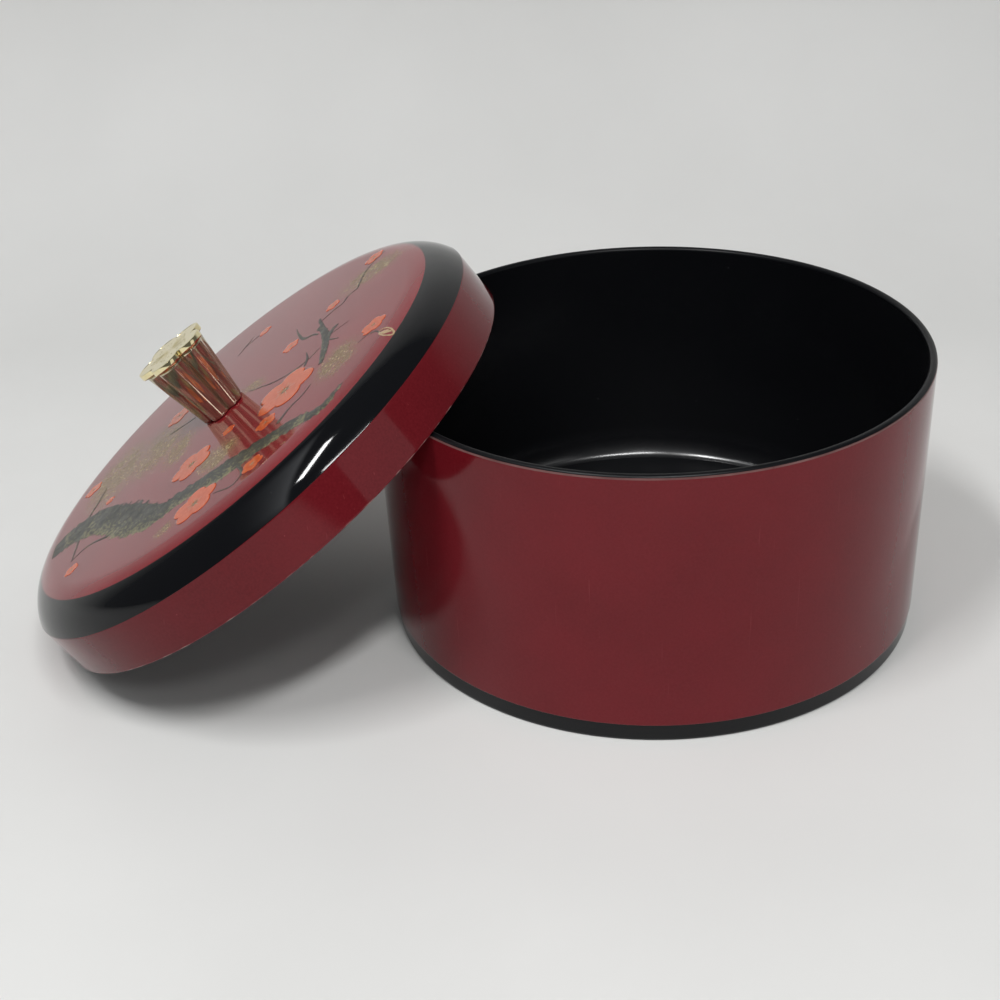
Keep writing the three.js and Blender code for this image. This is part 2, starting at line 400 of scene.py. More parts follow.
def ripple(nodes, links, shader, height, strength, depth):
    bump = nodes.new("ShaderNodeBump")
    bump.inputs["Strength"].default_value = strength
    bump.inputs["Distance"].default_value = depth
    links.new(height, bump.inputs["Height"])
    links.new(bump.outputs["Normal"], shader.inputs["Normal"])


def own_mark(nodes, name):
    """Value that a piece stores at each of its points."""
    mark = nodes.new("ShaderNodeAttribute")
    mark.attribute_name = name
    return mark.outputs["Fac"]


# Materials

RED = (0.205, 0.0095, 0.0155)
RED_DEEP = (0.17, 0.008, 0.013)
RED_GRAIN = (0.25, 0.022, 0.03)
RED_WORN = (0.30, 0.05, 0.055)
# Pale red of the lid's lower edge: rubbed wear and a painted highlight
RED_RUBBED_HIGHLIT = (0.46, 0.30, 0.28)
# Reds of the tub's wall and of the lid's skirt: darker copies of the crown's red, painted shade on the
# upright sides
WALL_RED_SHADED = (0.142, 0.0065, 0.0115)
WALL_RED_SHADED_DEEP = (0.12, 0.0055, 0.0095)
SKIRT_RED_SHADED = (0.12, 0.0055, 0.0096)
SKIRT_RED_SHADED_DEEP = (0.102, 0.0047, 0.008)
# Paler red of the rim's rounded outer edge: a painted highlight
RIM_HIGHLIGHT_RED = (0.12, 0.05, 0.048)
RIM_HIGHLIGHT_RED_PALE = (0.19, 0.095, 0.09)
BLACK = (0.0035, 0.0038, 0.0048)
DUST_GREY = (0.11, 0.11, 0.11)
GOLD_DUST = (0.172, 0.111, 0.03)
GOLD_FLECK = (0.56, 0.45, 0.23)
GOLD_PAINT = (0.38, 0.26, 0.14)
GOLD_PAINT_PALE = (0.56, 0.39, 0.22)
CORAL_HEART = (0.45, 0.055, 0.008)
CORAL = (0.52, 0.07, 0.012)
CORAL_PALE = (0.66, 0.16, 0.05)
BARK_DARK = (0.008, 0.009, 0.008)
BARK_LIGHT = (0.042, 0.045, 0.035)
MOSS = (0.19, 0.172, 0.082)


def lacquer_gloss(nodes, links, shader, place, low, high, specular, duller=0.0):
    """Smudged gloss and the faint ripple of a sprayed coat. What is duller adds to its roughness."""
    smudge = spread(nodes, links, cloud(nodes, links, place, scale=38, detail=3), 0.3, 0.7, low, high)
    links.new(work_out(nodes, links, "ADD", smudge, duller), shader.inputs["Roughness"])
    spray = cloud(nodes, links, place, scale=420, detail=1)
    ripple(nodes, links, shader, spray, strength=0.1, depth=0.00003)
    shader.inputs["Specular IOR Level"].default_value = specular


def red_colour(nodes, links, place, deep, bright):
    """Red coat with a cloudy tone, a fine grain and a few pale specks of dust."""
    tone = spread(nodes, links, cloud(nodes, links, place, scale=30, detail=4), 0.35, 0.65)
    grain = spread(nodes, links, cloud(nodes, links, place, scale=1500), 0.25, 0.8, 0.0, 0.22)
    coat = blend(nodes, links, tone, deep, bright)
    grained = blend(nodes, links, grain, coat, RED_GRAIN)
    return blend(nodes, links, specks(nodes, links, place, scale=70, size=0.016), grained, RED_WORN)


def make_red_lacquer(name, deep, bright):
    """Red lacquer with fine upright scratches."""
    material, nodes, links, shader = new_finish(name)
    place = object_place(nodes)
    upright = stretched(nodes, links, place, (1400, 1400, 45))
    hairs = cloud(nodes, links, upright, scale=1, detail=1)
    scratch = spread(nodes, links, hairs, 0.74, 0.82, 0.0, 0.3)
    coat = red_colour(nodes, links, place, deep, bright)
    links.new(blend(nodes, links, scratch, coat, RED_WORN), shader.inputs["Base Color"])
    lacquer_gloss(nodes, links, shader, place, low=0.04, high=0.09, specular=0.26)
    return material


def dust_thickness(nodes, links, on_lid):
    """How thick the gold dust lies on the crown: 1 within a cloud of it, 0 away from all of them."""
    thick = None
    for x, y, length, width, turn in DUST_CLOUDS:
        patch = nodes.new("ShaderNodeMapping")
        patch.vector_type = "TEXTURE"
        patch.inputs["Location"].default_value = (x * MM, y * MM, 0)
        patch.inputs["Rotation"].default_value = (0, 0, math.radians(turn))
        patch.inputs["Scale"].default_value = (length / 2 * MM, width / 2 * MM, 1)
        links.new(on_lid, patch.inputs["Vector"])
        away = nodes.new("ShaderNodeVectorMath")
        away.operation = "LENGTH"
        links.new(patch.outputs["Vector"], away.inputs[0])
        inside = spread(nodes, links, away.outputs["Value"], 1.3, 0.5)
        thick = inside if thick is None else work_out(nodes, links, "MAXIMUM", thick, inside)
    return thick


def make_crown_lacquer():
    """Red lacquer with clouds of gold dust strewn on it."""
    material, nodes, links, shader = new_finish("crown_lacquer")
    place = object_place(nodes)
    on_lid = lid_place(nodes, links)
    thick = dust_thickness(nodes, links, on_lid)
    drift = cloud(nodes, links, on_lid, scale=180)
    grain = cloud(nodes, links, on_lid, scale=1900, roughness=0.6)
    strewn = work_out(nodes, links, "MULTIPLY", thick, spread(nodes, links, drift, 0.3, 0.6, 0.6, 1.0))
    heaped = work_out(nodes, links, "ADD", grain, work_out(nodes, links, "MULTIPLY", strewn, 0.5))
    dust = spread(nodes, links, heaped, 0.66, 0.95, 0.0, 0.9)
    coat = red_colour(nodes, links, place, RED_DEEP, RED)
    glints = specks(nodes, links, on_lid, scale=560, size=0.27)
    flecks = work_out(nodes, links, "MULTIPLY", dust, glints)
    dusted = blend(nodes, links, dust, coat, GOLD_DUST)
    links.new(blend(nodes, links, flecks, dusted, GOLD_FLECK), shader.inputs["Base Color"])
    dull = work_out(nodes, links, "MULTIPLY", dust, 0.24)
    lacquer_gloss(nodes, links, shader, place, low=0.06, high=0.11, specular=0.55, duller=dull)
    return material


def make_worn_and_highlit_edge():
    """Red lacquer rubbed pale along the lid's lower edge, with a painted highlight of the rounded edge."""
    material, nodes, links, shader = new_finish("worn_and_highlit_edge")
    place = object_place(nodes)
    rub = spread(nodes, links, cloud(nodes, links, place, scale=240, detail=4), 0.48, 0.7)
    links.new(blend(nodes, links, rub, WALL_RED_SHADED, RED_RUBBED_HIGHLIT), shader.inputs["Base Color"])
    lacquer_gloss(nodes, links, shader, place, low=0.25, high=0.4, specular=0.34)
    return material


def make_rim_highlight():
    """Thin line where the red coat meets the black rim, a little paler than the wall: a painted highlight on
    the rim's rounded outer edge.
    """
    material, nodes, links, shader = new_finish("rim_highlight")
    place = object_place(nodes)
    tone = spread(nodes, links, cloud(nodes, links, place, scale=160, detail=3), 0.3, 0.7)
    links.new(blend(nodes, links, tone, RIM_HIGHLIGHT_RED, RIM_HIGHLIGHT_RED_PALE), shader.inputs["Base Color"])
    lacquer_gloss(nodes, links, shader, place, low=0.22, high=0.32, specular=0.26)
    return material


def make_black_lacquer(name, low, high, specular):
    """Black lacquer with a few grey specks of dust."""
    material, nodes, links, shader = new_finish(name)
    place = object_place(nodes)
    dust = specks(nodes, links, place, scale=110, size=0.02)
    links.new(blend(nodes, links, dust, BLACK, DUST_GREY), shader.inputs["Base Color"])
    lacquer_gloss(nodes, links, shader, place, low, high, specular)
    return material


def make_gold_plate(name, dull, bright, low, high, metallic):
    """Plated gold, drawn in fine streaks along the knob."""
    material, nodes, links, shader = new_finish(name)
    place = lid_place(nodes, links)
    drawn = cloud(nodes, links, stretched(nodes, links, place, (900, 900, 25)), scale=1, detail=3)
    tone = spread(nodes, links, drawn, 0.3, 0.7)
    links.new(blend(nodes, links, tone, dull, bright), shader.inputs["Base Color"])
    shader.inputs["Metallic"].default_value = metallic
    worn = cloud(nodes, links, place, scale=700, detail=4)
    links.new(spread(nodes, links, worn, 0.3, 0.75, low, high), shader.inputs["Roughness"])
    ripple(nodes, links, shader, drawn, strength=0.1, depth=0.00002)
    return material


def make_metal(name, dark, light, scale):
    """Plain turned metal for the hidden fastening."""
    material, nodes, links, shader = new_finish(name)
    place = object_place(nodes)
    tone = spread(nodes, links, cloud(nodes, links, place, scale, detail=4), 0.3, 0.7)
    links.new(blend(nodes, links, tone, dark, light), shader.inputs["Base Color"])
    shader.inputs["Metallic"].default_value = 1
    links.new(spread(nodes, links, tone, 0, 1, 0.24, 0.4), shader.inputs["Roughness"])
    return material


def paint_gloss(nodes, links, shader, place, low, high):
    """Brushed paint, a little uneven."""
    uneven = cloud(nodes, links, place, scale=300, detail=3)
    links.new(spread(nodes, links, uneven, 0.3, 0.7, low, high), shader.inputs["Roughness"])
    bristles = cloud(nodes, links, place, scale=1100, detail=3)
    ripple(nodes, links, shader, bristles, strength=0.1, depth=0.00002)
    shader.inputs["Specular IOR Level"].default_value = 0.4


def make_coral_paint():
    """Coral paint, deeper in the heart of a blossom and streaked with a paler tone."""
    material, nodes, links, shader = new_finish("coral_paint")
    place = lid_place(nodes, links)
    outer = spread(nodes, links, own_mark(nodes, "blush"), 0.15, 0.75)
    brushed = cloud(nodes, links, place, scale=900, detail=4, roughness=0.65)
    streak = spread(nodes, links, brushed, 0.4, 0.75, 0.0, 0.6)
    coat = blend(nodes, links, outer, CORAL_HEART, CORAL)
    links.new(blend(nodes, links, streak, coat, CORAL_PALE), shader.inputs["Base Color"])
    paint_gloss(nodes, links, shader, place, low=0.08, high=0.14)
    return material


def make_bark_paint():
    """Dark bark, speckled with gold-green moss that thickens towards the trunk's lower side."""
    material, nodes, links, shader = new_finish("bark_paint")
    place = lid_place(nodes, links)
    strokes = cloud(nodes, links, place, scale=420, detail=4, roughness=0.65)
    bark = blend(nodes, links, spread(nodes, links, strokes, 0.4, 0.7), BARK_DARK, BARK_LIGHT)
    lower = spread(nodes, links, own_mark(nodes, "across"), -0.2, 0.9, 0.0, 0.17)
    tufts = cloud(nodes, links, place, scale=1100, roughness=0.6)
    moss = spread(nodes, links, work_out(nodes, links, "ADD", tufts, lower), 0.6, 0.68)
    links.new(blend(nodes, links, moss, bark, MOSS), shader.inputs["Base Color"])
    paint_gloss(nodes, links, shader, place, low=0.3, high=0.42)
    return material


def make_gold_paint():
    """Gold paint of the stamens and the bud, only a little metallic."""
    material, nodes, links, shader = new_finish("gold_paint")
    place = lid_place(nodes, links)
    tone = spread(nodes, links, cloud(nodes, links, place, scale=1200, detail=3), 0.3, 0.7)
    links.new(blend(nodes, links, tone, GOLD_PAINT, GOLD_PAINT_PALE), shader.inputs["Base Color"])
    shader.inputs["Metallic"].default_value = 0.25
    paint_gloss(nodes, links, shader, place, low=0.15, high=0.25)
    return material


# The tub's wall and the lid's skirt take the darker reds: painted shade
red_lacquer_shaded = make_red_lacquer("red_lacquer_shaded", WALL_RED_SHADED_DEEP, WALL_RED_SHADED)
skirt_lacquer_shaded = make_red_lacquer("skirt_lacquer_shaded", SKIRT_RED_SHADED_DEEP, SKIRT_RED_SHADED)
crown_lacquer = make_crown_lacquer()
worn_and_highlit_edge = make_worn_and_highlit_edge()
rim_highlight = make_rim_highlight()
black_lacquer = make_black_lacquer("black_lacquer", low=0.04, high=0.08, specular=0.28)
black_satin = make_black_lacquer("black_satin", low=0.215, high=0.25, specular=1)
black_floor = make_black_lacquer("black_floor", low=0.55, high=0.65, specular=0.12)
black_rim = make_black_lacquer("black_rim", low=0.3, high=0.38, specular=0.16)
gold_plate = make_gold_plate(
    "gold_plate", dull=(0.85, 0.74, 0.43), bright=(0.90, 0.80, 0.50), low=0.05, high=0.13, metallic=1)
# The knob body's gold is a darker copy of the cap's gold: painted shade of the body under the cap
gold_body_shaded = make_gold_plate(
    "gold_body_shaded", dull=(0.31, 0.28, 0.21), bright=(0.74, 0.66, 0.48), low=0.05, high=0.1, metallic=0.9)
coral_paint = make_coral_paint()
bark_paint = make_bark_paint()
gold_paint = make_gold_paint()
brass = make_metal("brass", dark=(0.42, 0.27, 0.08), light=(0.55, 0.38, 0.13), scale=900)
steel = make_metal("steel", dark=(0.42, 0.43, 0.44), light=(0.56, 0.57, 0.58), scale=1200)


# Tub


def tub_rings():
    """Profile of the tub: its underside, foot, wall, rim, inside and floor."""
    rings = [(UNDERSIDE_RING, FOOT_HEIGHT), (FOOT_INNER - FOOT_FILLET, FOOT_HEIGHT)]
    rings += [(FOOT_INNER, FOOT_HEIGHT - FOOT_FILLET), (FOOT_INNER, FOOT_BEVEL), (FOOT_INNER + FOOT_BEVEL, 0)]
    rings += corner(FOOT_RADIUS - FOOT_ROUND, FOOT_ROUND, FOOT_ROUND, -90, 0, 4)
    rings += [(FOOT_RADIUS, FOOT_HEIGHT)]
    rings += corner(WALL_FOOT - WALL_ROUND, FOOT_HEIGHT + WALL_ROUND, WALL_ROUND, -90, 0, 4)
    rings += corner(RIM_RADIUS - RIM_ROUND, TUB_HEIGHT - RIM_ROUND, RIM_ROUND, 0, 180, 20)
    inner_foot = WALL_FOOT - TUB_WALL
    bend = corner(FLOOR_BEND_AT, FLOOR_TOP + FLOOR_BEND, FLOOR_BEND, -FLOOR_BEND_SLOPE, -90, 12)
    bend_radius, bend_height = bend[0]
    slope = math.radians(FLOOR_BEND_SLOPE)
    sweep = (inner_foot - bend_radius) / (1 - math.cos(slope))
    sweep_up = bend_height + sweep * math.sin(slope)
    rings += corner(inner_foot - sweep, sweep_up, sweep, 0, -FLOOR_BEND_SLOPE, 12)
    rings += bend[1:]
    rings += [(radius, FLOOR_TOP) for radius in FLOOR_RINGS]
    return hold_rings(rings)


def coat_tub(tub):
    """Gives each face of the tub its coat, by its place and by the way it faces."""
    coats = [black_lacquer, red_lacquer_shaded, black_satin, rim_highlight, black_floor, black_rim]
    for coat in coats:
        tub.data.materials.append(coat)
    rim_low = TUB_HEIGHT - RIM_ROUND
    for face in tub.data.polygons:
        out = Vector((face.center.x - TUB_AXIS, face.center.y, 0))
        radius = out.length / MM
        height = face.center.z / MM
        outward = face.normal.dot(out.normalized()) > FACING
        on_wall = outward and radius > FOOT_RADIUS + SLACK and height > FOOT_HEIGHT
        coat = black_lacquer
        if on_wall and height < rim_low:
            coat = red_lacquer_shaded
        # The band just under the black rim gets a painted highlight
        elif on_wall and height < rim_low + RIM_HIGHLIGHT_BAND:
            coat = rim_highlight
        elif height >= rim_low:
            coat = black_rim
        elif radius < RIM_RADIUS - TUB_WALL + SLACK and height > FLOOR_TOP - SLACK:
            coat = black_floor if face.normal.z > LEVEL else black_satin
        face.material_index = coats.index(coat)


def make_tub():
    tub = turn_piece("tub_lacquered", tub_rings(), TUB_SIDES)
    close_holes()
    finish_mesh()
    take_up(tub)
    tub.location = (TUB_AXIS, 0, 0)
    bpy.ops.object.transform_apply(location=True)
    coat_tub(tub)
    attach(tub, "tub")
    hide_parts("tub")


# Lid


def lid_rings():
    """Profile of the lid: its underside, ledge, skirt, shoulder and crown."""
    under = [(radius, crown_height(radius, INNER_SHOULDER)) for radius in UNDER_RINGS]
    ledge_angle = math.degrees(math.acos((LEDGE_INNER - SHOULDER_AT) / INNER_SHOULDER))
    side = corner(SHOULDER_AT, SHOULDER_UP, INNER_SHOULDER, SHOULDER_END, ledge_angle, 12)
    side += [(LEDGE_INNER, LEDGE_HEIGHT + LEDGE_BEVEL), (LEDGE_INNER + LEDGE_BEVEL, LEDGE_HEIGHT)]
    side += [(SKIRT_INNER - LEDGE_FILLET, LEDGE_HEIGHT), (SKIRT_INNER, LEDGE_HEIGHT - LEDGE_FILLET)]
    inside = SKIRT_EDGE_INSIDE
    side += corner(SKIRT_INNER + inside, inside, inside, 180, 270, 3)
    outside = SKIRT_EDGE_OUTSIDE
    side += corner(SKIRT_OUTER - outside, outside, outside, -90, 0, 4)
    crease_turn = math.pi / 2 - SHOULDER_SLOPE
    crease_up = SKIRT_HEIGHT - CREASE_ROUND * math.tan(crease_turn / 2)
    side += corner(SKIRT_OUTER - CREASE_ROUND, crease_up, CREASE_ROUND, 0, math.degrees(crease_turn), 6)
    band_angle = math.degrees(math.acos((BAND_TOP_RADIUS - SHOULDER_AT) / SHOULDER_RADIUS))
    side += corner(SHOULDER_AT, SHOULDER_UP, SHOULDER_RADIUS, SHOULDER_START, band_angle, 14)
    side += corner(SHOULDER_AT, SHOULDER_UP, SHOULDER_RADIUS, band_angle, SHOULDER_END, 8)[1:]
    crown = [(radius, crown_height(radius)) for radius in CROWN_RINGS]
    return under + hold_rings(side) + crown + under[:1]


def coat_lid(lid):
    """Gives each face of the lid its coat, by its place and by the way it faces."""
    coats = [black_lacquer, skirt_lacquer_shaded, crown_lacquer, worn_and_highlit_edge, black_satin]
    for coat in coats:
        lid.data.materials.append(coat)
    for face in lid.data.polygons:
        out = Vector((face.center.x, face.center.y, 0))
        radius = out.length / MM
        height = face.center.z / MM
        outward = face.normal.dot(out.normalized()) > FACING
        outside = radius > SKIRT_INNER + SLACK
        coat = black_lacquer
        if face.normal.z > FACING and radius < BAND_TOP_RADIUS and height > SKIRT_HEIGHT:
            coat = crown_lacquer
        elif outward and outside and height < SKIRT_HEIGHT + SLACK:
            coat = skirt_lacquer_shaded if height > WORN_HIGHLIT_HEIGHT else worn_and_highlit_edge
        elif face.normal.z < FACING and not outside:
            coat = black_satin
        face.material_index = coats.index(coat)


def make_lid():
    lid = turn_piece("lid_lacquered", lid_rings(), LID_SIDES)
    finish_mesh()
    coat_lid(lid)
    lean_on_rim(lid)
    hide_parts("lid")


# Knob


def copy_round():
    """Copies what is selected in edit mode from the first petal to the others."""
    for _ in range(PETALS - 1):
        bpy.ops.mesh.duplicate()
        bpy.ops.transform.rotate(value=math.tau / PETALS, orient_axis="Z", center_override=(0, 0, 0))


def blossom_outline(name, radius):
    """Draws one petal's edge, cuts it at its notches and copies it round."""
    bpy.ops.object.select_all(action="DESELECT")
    bpy.ops.mesh.primitive_circle_add(vertices=PETAL_POINTS, radius=PETAL_SHARE * radius * MM)
    piece = bpy.context.active_object
    piece.name = name
    begin_edit()
    reach = (1 - PETAL_SHARE) * radius * MM
    bpy.ops.transform.translate(value=(reach, 0, 0))
    half = math.pi / PETALS
    for side in (1, -1):
        bpy.ops.mesh.select_all(action="SELECT")
        cut = (-math.sin(half), side * math.cos(half), 0)
        bpy.ops.mesh.bisect(plane_co=(0, 0, 0), plane_no=cut, clear_outer=True, threshold=1e-7)
    inner_half = 0.4 * radius * MM
    pick_vertices(piece, lambda co: co.x < inner_half)
    bpy.ops.mesh.delete(type="VERT")
    bpy.ops.mesh.select_all(action="SELECT")
    copy_round()
    bpy.ops.mesh.select_all(action="SELECT")
    bpy.ops.mesh.remove_doubles(threshold=0.01 * MM)
    bpy.ops.mesh.select_all(action="SELECT")
    return piece


def set_knob(piece, lift):
    """Turns a finished knob piece to its place on the crown, and leans it with the lid."""
    piece.data.transform(Matrix.Rotation(KNOB_TURN, 4, "Z"))
    piece.data.transform(Matrix.Translation((0, 0, lift * MM)))
    lean_on_rim(piece)


def make_knob_body():
    top = KNOB_HEIGHT - CAP_THICKNESS - SEAT_GAP
    rings = [(KNOB_BASE - KNOB_EDGE_IN, 0), (KNOB_BASE, KNOB_EDGE_UP)]
    rings += [(KNOB_NECK, top - KNOB_EDGE_UP), (KNOB_NECK - KNOB_EDGE_IN, top)]
    body = blossom_outline("knob_fluted_body", rings[0][0])
    pull_rings(hold_rings(rings))
    close_holes()
    finish_mesh(angle=50)
    body.data.materials.append(gold_body_shaded)
    set_knob(body, CROWN_TOP + SEAT_GAP)
    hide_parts("knob_body")


def make_stamens():
    """A boss in the middle of the cap, with a fan of ridges and beads on each petal."""
    bpy.ops.object.select_all(action="DESELECT")
    bpy.ops.mesh.primitive_uv_sphere_add(segments=20, ring_count=10, radius=BOSS_RADIUS * MM)
    stamens = bpy.context.active_object
    begin_edit()
    bpy.ops.transform.resize(value=(1, 1, BOSS_FLATNESS))
    bpy.ops.mesh.select_all(action="DESELECT")
    for step in (-2, -1, 0, 1, 2):
        length = STAMEN_LENGTH - STAMEN_SHORTER * abs(step)
        middle = (STAMEN_START + length / 2) * MM
        bpy.ops.mesh.primitive_cone_add(
            vertices=8, radius1=STAMEN_FOOT * MM, radius2=STAMEN_TIP * MM, depth=length * MM,
            location=(middle, 0, 0), rotation=(0, math.pi / 2, 0))
        bpy.ops.transform.rotate(value=step * STAMEN_FAN, orient_axis="Z", center_override=(0, 0, 0))
        copy_round()
        bpy.ops.mesh.primitive_uv_sphere_add(
            segments=8, ring_count=6, radius=BEAD_RADIUS * MM, location=((STAMEN_START + length) * MM, 0, 0))
        bpy.ops.transform.rotate(value=step * STAMEN_FAN, orient_axis="Z", center_override=(0, 0, 0))
        copy_round()
    bpy.ops.mesh.select_all(action="SELECT")
    bpy.ops.transform.resize(value=(1, 1, STAMEN_FLATNESS), center_override=(0, 0, 0))
    bpy.ops.transform.translate(value=(0, 0, CAP_FIELD * MM))
    finish_mesh(angle=40)
    return stamens


def make_knob_cap():
    edge = [(CAP_RADIUS - CAP_EDGE_IN, 0), (CAP_RADIUS - CAP_EDGE_MIDDLE, CAP_EDGE_MIDDLE)]
    edge += [(CAP_RADIUS, CAP_EDGE_UP), (CAP_RADIUS, CAP_THICKNESS - CAP_EDGE_UP)]
    edge += [(CAP_RADIUS - CAP_EDGE_MIDDLE, CAP_THICKNESS - CAP_EDGE_MIDDLE)]
    edge += [(CAP_RADIUS - CAP_EDGE_IN, CAP_THICKNESS), (CAP_RADIUS - CAP_RIM, CAP_THICKNESS)]
    edge += [(CAP_RADIUS - CAP_RIM_FOOT, CAP_FIELD)]
    cap = blossom_outline("knob_blossom_cap", edge[0][0])
    pull_rings(edge)
    close_holes()
    finish_mesh()
    stamens = make_stamens()
    take_up(cap)
    stamens.select_set(True)
    bpy.ops.object.join()
    cap.data.materials.append(gold_plate)
    set_knob(cap, CROWN_TOP + KNOB_HEIGHT - CAP_THICKNESS + SEAT_GAP)
    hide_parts("knob_cap")


# Painted branch


def draw_strokes(name, strokes, steps):
    """Draws brush strokes as round curves that lie on z = 0, and makes them one mesh."""
    curve = bpy.data.curves.new(name, "CURVE")
    curve.dimensions = "3D"
    curve.bevel_depth = MM
    curve.bevel_resolution = 2
    curve.resolution_u = steps
    curve.use_fill_caps = True
    for stroke in strokes:
        spline = curve.splines.new("BEZIER")
        spline.bezier_points.add(len(stroke) - 1)
        for point, (x, y, half) in zip(spline.bezier_points, stroke):
            point.co = (x * MM, y * MM, 0)
            point.radius = half
            point.handle_left_type = "AUTO"
            point.handle_right_type = "AUTO"
    drawn = bpy.data.objects.new(name, curve)
    bpy.context.scene.collection.objects.link(drawn)
    take_up(drawn)
    bpy.ops.object.convert(target="MESH")
    return bpy.context.active_object


def fray(piece, grain, depth):
    """Makes the edges of a stroke uneven, as a dry brush leaves them."""
    bristles = bpy.data.textures.new(piece.name + "_bristles", "CLOUDS")
    bristles.noise_scale = grain * MM
    uneven = piece.modifiers.new("uneven", "DISPLACE")
    uneven.texture = bristles
    uneven.texture_coords = "LOCAL"
    uneven.mid_level = 0.5
    uneven.strength = depth * MM
    bpy.ops.object.modifier_apply(modifier=uneven.name)


def mark_across(piece, stroke):
    """Stores how far each point lies across a stroke: 1 on the edge that is nearest to the lid's edge."""
    marks = piece.data.attributes.new("across", "FLOAT", "POINT")
    for vertex, mark in zip(piece.data.vertices, marks.data):
        spot = Vector((vertex.co.x, vertex.co.y)) / MM
        x, y, half = min(stroke, key=lambda point: (Vector(point[:2]) - spot).length)
        mark.value = (spot.length - math.hypot(x, y)) / half


def lay_on_crown(piece, lift, relief, full):
    """Flattens a drawn piece into a thin coat that follows the crown. Its height full becomes the relief."""
    for vertex in piece.data.vertices:
        up = vertex.co.z / (full * MM)
        coat = lift + relief * up if up > 0 else -PAINT_ROOT
        radius = math.hypot(vertex.co.x, vertex.co.y) / MM
        vertex.co.z = (crown_height(radius) + coat) * MM


def finish_paint(piece, paint):
    """Smooths a painted piece, gives it its paint and leans it with the lid."""
    begin_edit()
    finish_mesh(angle=60)
    piece.data.materials.append(paint)
    lean_on_rim(piece)


def make_trunk():
    trunk = draw_strokes("painted_trunk", [TRUNK], 28)
    fray(trunk, grain=4, depth=2.4)
    fray(trunk, grain=1.2, depth=1.8)
    mark_across(trunk, TRUNK)
    widest = max(half for x, y, half in TRUNK)
    lay_on_crown(trunk, lift=0.02, relief=0.04, full=widest)
    finish_paint(trunk, bark_paint)


def make_twigs(name, strokes, grain, depth):
    twigs = draw_strokes(name, strokes, 16)
    fray(twigs, grain, depth)
    lay_on_crown(twigs, lift=0.04, relief=0.03, full=1.5)
    finish_paint(twigs, bark_paint)


def model_blossom():
    """Models one blossom: low round petals that overlap, and gold stamens."""
    bpy.ops.object.select_all(action="DESELECT")
    petal = BLOSSOM_PETAL * BLOSSOM_RADIUS
    rings = [(share * petal, height) for share, height in BLOSSOM_PROFILE]
    bpy.ops.mesh.primitive_circle_add(vertices=22, radius=rings[0][0] * MM)
    blossom = bpy.context.active_object
    begin_edit()
    bpy.ops.transform.translate(value=(0, 0, rings[0][1] * MM))
    pull_rings(rings)
    close_holes()
    bpy.ops.mesh.select_all(action="SELECT")
    bpy.ops.mesh.normals_make_consistent(inside=False)
    bpy.ops.transform.translate(value=(BLOSSOM_REACH * BLOSSOM_RADIUS * MM, 0, 0))
    copy_round()
    bpy.ops.object.mode_set(mode="OBJECT")
    blossom.data.materials.append(coral_paint)
    blossom.data.materials.append(gold_paint)
    begin_edit()
    bpy.ops.mesh.select_all(action="DESELECT")
    blossom.active_material_index = 1
    for length, turn in BLOSSOM_STAMENS:
        middle = (BLOSSOM_STAMEN_START + length / 2) * MM
        bpy.ops.mesh.primitive_cone_add(
            vertices=6, radius1=BLOSSOM_STAMEN_FOOT * MM, radius2=BLOSSOM_STAMEN_TIP * MM,
            depth=length * MM, location=(middle, 0, BLOSSOM_STAMEN_UP * MM), rotation=(0, math.pi / 2, 0))
        bpy.ops.transform.rotate(value=turn, orient_axis="Z", center_override=(0, 0, 0))
        bpy.ops.object.material_slot_assign()
        copy_round()
    bpy.ops.object.mode_set(mode="OBJECT")
    bpy.ops.object.shade_smooth_by_angle(angle=math.radians(60))
    marks = blossom.data.attributes.new("blush", "FLOAT", "POINT")
    for vertex, mark in zip(blossom.data.vertices, marks.data):
        mark.value = math.hypot(vertex.co.x, vertex.co.y) / (BLOSSOM_RADIUS * MM)
    return blossom


def make_blossoms():
    pattern = model_blossom()
    copies = []
    for index, (x, y, width) in enumerate(BLOSSOMS):
        copy = pattern.copy()
        copy.data = pattern.data.copy()
        bpy.context.scene.collection.objects.link(copy)
        share = width / (2 * BLOSSOM_RADIUS)
        size = Matrix.Diagonal((share, share, 1, 1))
        turn = Matrix.Rotation(BLOSSOM_TURN * index, 4, "Z")
        copy.data.transform(Matrix.Translation((x * MM, y * MM, 0)) @ turn @ size)
        copies.append(copy)
    bpy.data.objects.remove(pattern)
    take_up(copies[0])
    for copy in copies[1:]:
        copy.select_set(True)
    bpy.ops.object.join()
    blossoms = bpy.context.active_object
    blossoms.name = "painted_blossoms"
    lay_on_crown(blossoms, lift=0.07, relief=0.016, full=1)
    lean_on_rim(blossoms)


def make_gold_bud():
    """Closed bud drawn in gold at the end of a twig: its outline, and a broad vein."""
    middle, along, aside = (Vector(pair) for pair in GOLD_BUD)
    around = []
    for step in range(BUD_POINTS + 1):
        angle = math.tau * step / BUD_POINTS
        spot = middle + along * math.cos(angle) + aside * math.sin(angle)
        around.append((*spot, BUD_LINE))
    vein = [(*(middle + share * along), half) for share, half in BUD_VEIN]
    bud = draw_strokes("painted_bud", [around, vein], 8)
    fray(bud, grain=0.8, depth=0.4)
    widest = max(half for share, half in BUD_VEIN)
    lay_on_crown(bud, lift=0.05, relief=0.06, full=widest)
    finish_paint(bud, gold_paint)


make_tub()
make_lid()
make_knob_body()
make_knob_cap()
make_trunk()
make_twigs("painted_fork", FORK, grain=1.1, depth=1.5)
make_twigs("painted_twigs", TWIGS, grain=0.9, depth=0.4)
make_blossoms()
make_gold_bud()

for node, finish in (("knob_insert", brass), ("knob_screw", steel), ("screw_washer", steel)):
    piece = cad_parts[node]
    piece.data.materials.clear()
    piece.data.materials.append(finish)


# Table, lamps, room and camera, in metres

